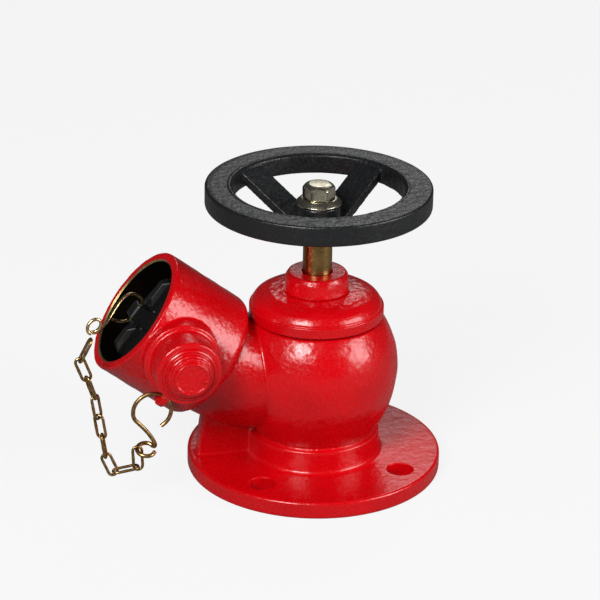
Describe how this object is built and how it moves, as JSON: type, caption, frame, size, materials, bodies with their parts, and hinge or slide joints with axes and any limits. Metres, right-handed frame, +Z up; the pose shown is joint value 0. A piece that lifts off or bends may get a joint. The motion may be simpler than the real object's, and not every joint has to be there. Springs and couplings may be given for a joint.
{
  "type": "hydrant valve",
  "caption": "Flanged hydrant valve with an oblique instantaneous outlet, a handwheel on a rising spindle, a side release knob and a chained blank cap.",
  "frame": {"origin": "centre of the inlet flange's face, on which the valve stands", "axes": "+Z up along the spindle, -X towards the side that the outlet leans to, -Y the side of the chain"},
  "size_m": [0.2763, 0.185, 0.2188],
  "materials": {
    "red_enamel": "gloss red enamel over rough-cast metal",
    "black_cast_iron": "black paint over rough-cast iron",
    "brass": "machined brass, dulled",
    "bronze": "machined bronze",
    "plated_steel": "yellow-plated steel",
    "black_rubber": "moulded black rubber",
    "graphite_packing": "graphited packing",
    "black_plastic": "satin black moulding"
  },
  "bodies": {
    "valve": {"valve_body": "red_enamel", "seat_ring": "bronze", "bonnet": "red_enamel", "bonnet_gasket": "black_rubber", "gland_nut": "red_enamel", "gland_packing": "graphite_packing", "gland_follower": "brass", "outlet_coupling": "red_enamel", "coupling_seal": "black_rubber", "guide_ring_front": "brass", "release_spring_front": "plated_steel"},
    "disc": {"valve_disc": "bronze", "disc_washer": "black_rubber", "disc_nut": "brass", "disc_retainer": "brass"},
    "handwheel": {"spindle": "brass", "handwheel": "black_cast_iron", "wheel_washer": "plated_steel", "wheel_nut": "plated_steel"},
    "release_front": {"plunger_front": "brass", "release_knob_front": "red_enamel"},
    "cap": {"blank_cap": "black_plastic", "hook_wire": "brass"},
    "s_hook": {"s_hook": "brass"},
    "link_1": {"chain_link_1": "brass"},
    "link_2": {"chain_link_2": "brass"},
    "link_3": {"chain_link_3": "brass"},
    "link_4": {"chain_link_4": "brass"},
    "link_5": {"chain_link_5": "brass"},
    "link_6": {"chain_link_6": "brass"},
    "link_7": {"chain_link_7": "brass"},
    "link_8": {"chain_link_8": "brass"},
    "link_9": {"chain_link_9": "brass"}
  },
  "joints": [
    {"name": "handwheel_turn", "type": "hinge", "parent": "disc", "child": "handwheel", "pos_m": [0, 0, 0.2], "axis": [0, 0, 1], "range_deg": [0, 1440]},
    {"name": "spindle_lift", "type": "slide", "parent": "valve", "child": "disc", "axis": [0, 0, 1], "range_m": [0, 0.02]},
    {"name": "release_pull_front", "type": "slide", "parent": "valve", "child": "release_front", "axis": [0, -1, 0], "range_m": [0, 0.005], "stiffness_N_per_m": 1500, "springref_m": -0.004, "deforming": ["release_spring_front"]},
    {"name": "cap_slide", "type": "slide", "parent": "valve", "child": "cap", "axis": [-0.7934, 0, 0.6088], "range_m": [0, 0.045]},
    {"name": "s_hook_swing", "type": "hinge", "parent": "valve", "child": "s_hook", "pos_m": [-0.12905, -0.041, 0.07298], "axis": [0, -1, 0], "range_deg": [-38.76, 0]},
    {"name": "link_swing_1", "type": "hinge", "parent": "s_hook", "child": "link_1", "pos_m": [-0.1399, -0.041, 0.0435], "axis": [0, -1, 0], "range_deg": [-9.18, 0]},
    {"name": "link_swing_2", "type": "hinge", "parent": "link_1", "child": "link_2", "pos_m": [-0.13924, -0.041, 0.03087], "axis": [0, -1, 0], "range_deg": [0, 17.34]},
    {"name": "link_swing_3", "type": "hinge", "parent": "link_2", "child": "link_3", "pos_m": [-0.1572, -0.041, 0.02866], "axis": [0, -1, 0], "range_deg": [0, 9.18]},
    {"name": "link_swing_4", "type": "hinge", "parent": "link_3", "child": "link_4", "pos_m": [-0.16232, -0.041, 0.04072], "axis": [0, -1, 0], "range_deg": [0, 20.4]},
    {"name": "link_swing_5", "type": "hinge", "parent": "link_4", "child": "link_5", "pos_m": [-0.16515, -0.041, 0.0586], "axis": [0, -1, 0], "range_deg": [0, 15.3]},
    {"name": "link_swing_6", "type": "hinge", "parent": "link_5", "child": "link_6", "pos_m": [-0.1674, -0.041, 0.07277], "axis": [0, -1, 0], "range_deg": [-12.24, 0]},
    {"name": "link_swing_7", "type": "hinge", "parent": "link_6", "child": "link_7", "pos_m": [-0.16964, -0.041, 0.08694], "axis": [0, -1, 0], "range_deg": [-8.16, 0]},
    {"name": "link_swing_8", "type": "hinge", "parent": "link_7", "child": "link_8", "pos_m": [-0.17524, -0.041, 0.10416], "axis": [0, -1, 0], "range_deg": [0, 12.24]},
    {"name": "link_swing_9", "type": "hinge", "parent": "link_8", "child": "link_9", "pos_m": [-0.17993, -0.041, 0.11639], "axis": [0, -1, 0], "range_deg": [0, 27.54]}
  ],
  "couplings": [
    {"joint": "spindle_lift", "follows": "handwheel_turn", "m_per_rad": 0.00079577},
    {"joint": "s_hook_swing", "follows": "cap_slide", "rad_per_m": -14.738},
    {"joint": "link_swing_1", "follows": "cap_slide", "rad_per_m": -3.4907},
    {"joint": "link_swing_2", "follows": "cap_slide", "rad_per_m": 6.5935},
    {"joint": "link_swing_3", "follows": "cap_slide", "rad_per_m": 3.4907},
    {"joint": "link_swing_4", "follows": "cap_slide", "rad_per_m": 7.757},
    {"joint": "link_swing_5", "follows": "cap_slide", "rad_per_m": 5.8178},
    {"joint": "link_swing_6", "follows": "cap_slide", "rad_per_m": -4.6542},
    {"joint": "link_swing_7", "follows": "cap_slide", "rad_per_m": -3.1028},
    {"joint": "link_swing_8", "follows": "cap_slide", "rad_per_m": 4.6542},
    {"joint": "link_swing_9", "follows": "cap_slide", "rad_per_m": 10.472}
  ]
}
